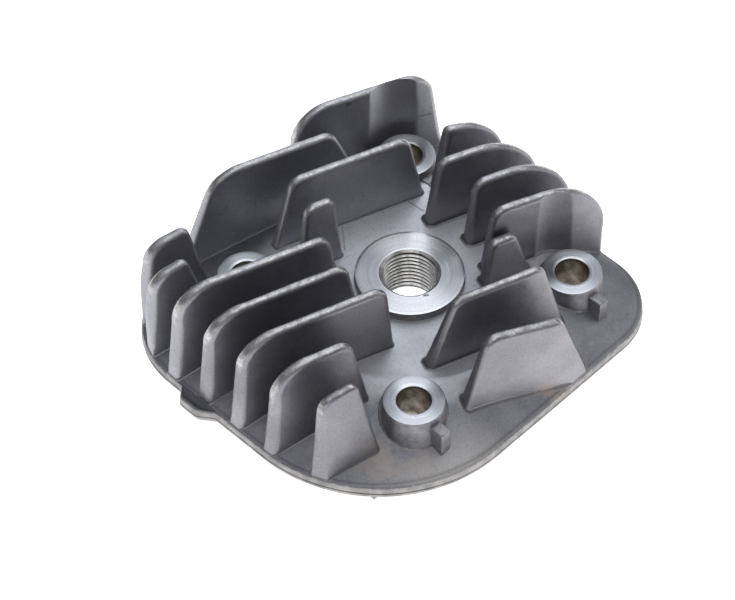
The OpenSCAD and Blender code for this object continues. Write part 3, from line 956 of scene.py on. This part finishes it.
def fin_material():
    """Dark die-cast face, with painted light that makes it paler at the back, and bright where the edge
    has worn.
    """
    n = Nodes("cast_fin")
    broad = n.ramp(n.noise(14, 3, offset=2), 0.3, 0.7)
    colour = n.mix(broad, FIN_DARK, FIN_LIGHT)
    # painted light: fins made paler towards the back
    colour = n.mix(n.ramp(n.y, 2.0, 34.0, 0.0, 0.6), colour, FIN_BACK_PAINTED_LIGHT)
    colour = grainy(n, colour, 0.42, 0.18)
    patch = n.ramp(n.noise(1.6, 5, 0.6, offset=9), 0.34, 0.66, -0.30, 0.22)
    worn = n.ramp(n.math("ADD", n.wear_and_shade(), patch), 0.4, 1.2)
    scrape = n.mix(n.ramp(n.noise(0.55, 3, offset=31), 0.3, 0.7), EDGE_DARK, EDGE_LIGHT)
    colour = n.mix(worn, colour, scrape)
    scuff = n.ramp(n.noise(0.9, 4, 0.7, offset=44), 0.66, 0.76)
    colour = n.over(colour, scuff, 0.4, EDGE_LIGHT)
    # painted shade: negative values, found only on the foot fillets, darken them
    colour = n.mix(n.ramp(n.wear_and_shade(), 0.0, -1.0, 0.0, 0.8), colour, GRIME_AND_PAINTED_SHADE)
    for at, size, share in FIN_STAINS:
        colour = n.over(colour, n.spot(at, size), share, RUST)
    for a, b, width, share in FIN_MARKS:
        colour = n.over(colour, n.line(a, b, width), share, GRIME_AND_PAINTED_SHADE)
    for a, b, width, share in FIN_SCRATCHES:
        colour = n.over(colour, n.line(a, b, width), share, EDGE_LIGHT)
    normal = n.bump(n.noise(0.55, 4, 0.6), 0.05, 0.55)
    normal = n.bump(n.noise(4.0, 2, offset=3), 0.25, 0.5, normal)
    return n.finish(colour, n.ramp(worn, 0, 1, 0.47, 0.36), normal, 0.95)


def deck_material():
    """Fine-grained light deck. Painted light makes it brightest at the back right and painted shade
    makes it darker on the slope beyond the flat centre; brownish at the front left."""
    n = Nodes("cast_deck")
    # painted shade: the slope beyond the flat centre takes darker colours
    slope = n.ramp(n.math("ADD", n.z, n.ramp(n.noise(6, 3), 0, 1, -0.8, 0.8)),
                   PLATEAU_Z - 3.0, PLATEAU_Z - 0.2, 1.0, 0.0)
    cloud = n.ramp(n.noise(9, 4, 0.6, offset=7), 0.3, 0.7)
    centre = n.mix(cloud, DECK_DULL, DECK_LIGHT)
    # painted light: the flat centre brightens towards the back right
    centre = n.mix(n.ramp(n.math("ADD", n.x, n.y), -12.0, 20.0, 0.0, 0.85), centre, DECK_BACK_PAINTED_LIGHT)
    outer = n.mix(cloud, OUTER_PAINTED_SHADE_DARK, OUTER_PAINTED_SHADE_PALE)
    front_left = n.math("MULTIPLY", n.ramp(n.y, -31.0, -43.0), n.ramp(n.x, -10.0, -28.0))
    outer = n.over(outer, front_left, 0.9, OUTER_FRONT)
    colour = n.mix(slope, centre, outer)
    colour = grainy(n, colour, 0.42, 0.19)
    rim = n.ramp(n.z, RIM_TOP_Z + 0.1, RIM_TOP_Z - 0.9)
    colour = n.mix(rim, colour, n.mix(n.ramp(n.noise(3, 4), 0.3, 0.7), RIM_DARK, RIM_LIGHT))
    for at, size, share in STAINS:
        colour = n.over(colour, n.spot(at, size), share, STAIN)
    for a, b, width, share in DECK_MARKS:
        colour = n.over(colour, n.line(a, b, width), share, GRIME_AND_PAINTED_SHADE)
    patch = n.ramp(n.noise(1.2, 4, 0.65, offset=9), 0.35, 0.65, -0.3, 0.3)
    worn = n.ramp(n.math("ADD", n.wear_and_shade(), patch), 0.4, 1.2)
    colour = n.mix(worn, colour, EDGE_LIGHT)
    # negative values darken: painted shade in the hollow inside the rim and the parting-line groove,
    # and a darker ear top
    colour = n.mix(n.ramp(n.wear_and_shade(), 0.0, -1.0, 0.0, 0.7), colour, GRIME_AND_PAINTED_SHADE)
    normal = n.bump(n.noise(0.5, 4, 0.6), 0.06, 0.8)
    return n.finish(colour, n.ramp(slope, 0, 1, 0.50, 0.55), normal, 0.92)


def turned_material(name, light, dark, rough):
    """Lathe-turned face: tool marks round the piece's upright axis, with painted sheen that leaves it
    darker off one diagonal.
    """
    n = Nodes(name)
    r = n.radius()
    ring = n.add("ShaderNodeCombineXYZ")
    n.link(r, ring.inputs[0])
    marks = n.noise(0.16, 3, 0.6, at=ring.outputs[0])
    bands = n.noise(0.8, 2, 0.5, at=ring.outputs[0], offset=3)
    grain = n.ramp(n.noise(0.5, 3, offset=12), 0.3, 0.7)
    colour = n.mix(n.ramp(marks, 0.3, 0.7), dark, light)
    colour = n.over(colour, n.ramp(bands, 0.35, 0.65), 0.35, dark)
    colour = n.over(colour, grain, 0.05, TURNED_GRAIN)
    # painted sheen and shade: darker away from the diagonal where the turning marks would catch the
    # light
    diagonal = n.math("DIVIDE", n.math("MULTIPLY", n.x, n.y), n.math("MULTIPLY", r, r))
    colour = n.mix(n.ramp(diagonal, 0.42, -0.45, 0.0, 0.6), colour, SEAT_SHADE)
    colour = n.over(colour, n.line(*NICK), 0.8, GRIME_AND_PAINTED_SHADE)
    height = n.math("ADD", marks, n.math("MULTIPLY", grain, 0.08))
    normal = n.bump(height, 0.025, 0.45)
    tangent = n.add("ShaderNodeTangent", direction_type="RADIAL", axis="Z")
    n.feed(n.shader, {"Tangent": tangent.outputs[0], "Anisotropic": 0.85,
                      "Anisotropic Rotation": 0.25})
    return n.finish(colour, n.ramp(bands, 0.3, 0.7, rough - 0.05, rough + 0.06), normal)


def cast_wall_material():
    """Side walls of the bosses: cast skin, a little smoother than the deck."""
    n = Nodes("cast_boss_wall")
    colour = n.mix(n.ramp(n.noise(3, 4), 0.3, 0.7), WALL_DARK, WALL_LIGHT)
    colour = grainy(n, colour, 0.5, 0.25)
    normal = n.bump(n.noise(0.6, 4, 0.6), 0.06, 0.6)
    return n.finish(colour, n.ramp(n.noise(2, 2, offset=8), 0, 1, 0.42, 0.56), normal, 0.95)


def bore_material():
    """Stud bores: cast, stained brownish and uneven."""
    n = Nodes("stud_bore")
    stain = n.ramp(n.noise(3.2, 4, 0.55), 0.3, 0.7)
    colour = n.mix(stain, BORE_LIGHT, BORE_DARK)
    mouth = n.ramp(n.math("ADD", n.z, n.ramp(n.noise(1.5, 3, offset=19), 0.3, 0.7, -1.2, 1.2)),
                   SEAT_Z - 5.0, SEAT_Z - 1.2, 0.0, 0.45)
    colour = n.mix(mouth, colour, BORE_DARK)
    normal = n.bump(n.noise(1.2, 3, 0.6, offset=6), 0.12, 0.7)
    return n.finish(colour, n.ramp(stain, 0, 1, 0.34, 0.5), normal, 0.95)


def thread_material():
    """Cut thread: bright crests, and roots darkened with painted shade."""
    n = Nodes("plug_thread")
    # painted shade in the thread roots, left off near the top
    root = n.ramp(n.radius(), THREAD_MINOR_R + 0.1, THREAD_MINOR_R + 0.55)
    top = n.ramp(n.z, SEAT_Z - 1.0, SEAT_Z - 0.75)
    root = n.math("MULTIPLY", root, n.math("SUBTRACT", 1.0, top))
    colour = n.mix(root, THREAD_LIGHT, THREAD_DARK)
    colour = n.mix(n.ramp(n.noise(0.8, 3), 0.45, 0.75, 0, 0.3), colour, THREAD_DARK)
    normal = n.bump(n.noise(0.3, 3), 0.02, 0.5)
    return n.finish(colour, n.ramp(n.noise(1.5, 2, offset=4), 0, 1, 0.26, 0.4), normal)


def floor_material():
    n = Nodes("pale_floor")
    n.feed(n.shader, {"Base Color": FLOOR_COLOUR, "Roughness": 0.9,
                      "Emission Color": FLOOR_GLOW_COLOUR, "Emission Strength": FLOOR_GLOW})
    return n.material


# ---- the head
def make_head():
    cast_fin, deck, wall = fin_material(), deck_material(), cast_wall_material()
    seat = turned_material("turned_seat", *SEAT_LOOK)
    stud_seat = turned_material("turned_stud_seat", *STUD_SEAT_LOOK)
    under = turned_material("turned_joint_face", *JOINT_FACE_LOOK)
    bore, thread = bore_material(), thread_material()
    flange_piece(deck, wall)
    core_piece(deck, under)
    plug_boss_piece(seat, wall, thread)
    for name, centre in STUDS.items():
        stud_boss_piece(name, centre, stud_seat, wall, bore)
    for name in ("front", "right", "back"):
        lug_piece(name, STUDS[name], wall)
    ear_piece(deck)
    rim_nib(wall)
    for name, spec in FINS.items():
        Fin(name, spec).make(cast_fin)


# ---- floor, light, camera
WORLD_LIGHT = 0.05
SOFTBOX = 0.8
COOL, PLAIN = (0.92, 0.955, 1.0), (1.0, 0.985, 0.955)
# soft lights 1 m away: name, azimuth, elevation, radiance, colour
LIGHTS = [("behind_low", 134, 22, 0.50, COOL), ("behind_high", 134, 55, 0.90, COOL),
          ("right_low", 44, 22, 0.75, PLAIN), ("right_high", 44, 55, 0.30, PLAIN),
          ("right_back", 89, 55, 0.60, COOL), ("left_back", -136, 55, 0.35, COOL),
          ("left_high", -91, 55, 0.30, PLAIN), ("front_high", -46, 55, 0.60, PLAIN),
          ("front_low", -46, 22, 0.10, PLAIN), ("overhead", 0, 89.9, 0.80, COOL)]


def make_floor():
    half = 3.0
    z = cad_low.z - 0.0005
    mesh = bpy.data.meshes.new("floor")
    mesh.from_pydata([(-half, -half, z), (half, -half, z), (half, half, z), (-half, half, z)],
                     [], [(0, 1, 2, 3)])
    mesh.materials.append(floor_material())
    floor = bpy.data.objects.new("floor", mesh)
    into_scene(floor)


def direction(azimuth, elevation):
    """Unit vector towards an azimuth, from -Y towards +X, and an elevation, in degrees."""
    a, e = math.radians(azimuth), math.radians(elevation)
    return Vector((math.sin(a) * math.cos(e), -math.cos(a) * math.cos(e), math.sin(e)))


def soft_light(name, azimuth, elevation, radiance, colour):
    """Square soft light that faces the middle of the head from the given direction."""
    towards = direction(azimuth, elevation)
    light = bpy.data.lights.new(name, "AREA")
    light.size = SOFTBOX
    light.color = colour
    light.energy = radiance * math.pi * SOFTBOX ** 2
    obj = bpy.data.objects.new(name, light)
    obj.location = towards
    obj.rotation_mode = "QUATERNION"
    obj.rotation_quaternion = (-towards).to_track_quat("-Z", "Y")
    into_scene(obj)


def make_light():
    world = bpy.data.worlds.new("studio")
    bpy.context.scene.world = world
    world.use_nodes = True
    world.node_tree.nodes["Background"].inputs["Color"].default_value = (1, 1, 1, 1)
    world.node_tree.nodes["Background"].inputs["Strength"].default_value = WORLD_LIGHT
    for spec in LIGHTS:
        soft_light(*spec)


def make_camera():
    """Camera on the photographed side: azimuth, elevation and roll about a nearby target."""
    back, roll = direction(-45.972, 49.623), math.radians(0.288)
    distance, across, up_by = 0.62404, -0.009974, -0.006460
    right0 = (-back).cross(Vector((0, 0, 1))).normalized()
    up0 = right0.cross(-back)
    right = right0 * math.cos(roll) + up0 * math.sin(roll)
    up = up0 * math.cos(roll) - right0 * math.sin(roll)
    data = bpy.data.cameras.new("camera")
    data.sensor_width = 36.0
    data.lens = 129.897
    data.clip_start, data.clip_end = 0.01, 20
    camera = bpy.data.objects.new("camera", data)
    place_at = back * distance + right * across + up * up_by + Vector((0, 0, SEAT_Z * MM))
    camera.matrix_world = Matrix.Translation(place_at) @ Matrix((right, up, back)).transposed().to_4x4()
    into_scene(camera)
    bpy.context.scene.camera = camera


make_head()
make_floor()
make_light()
make_camera()
bpy.context.scene.view_settings.view_transform = "Standard"
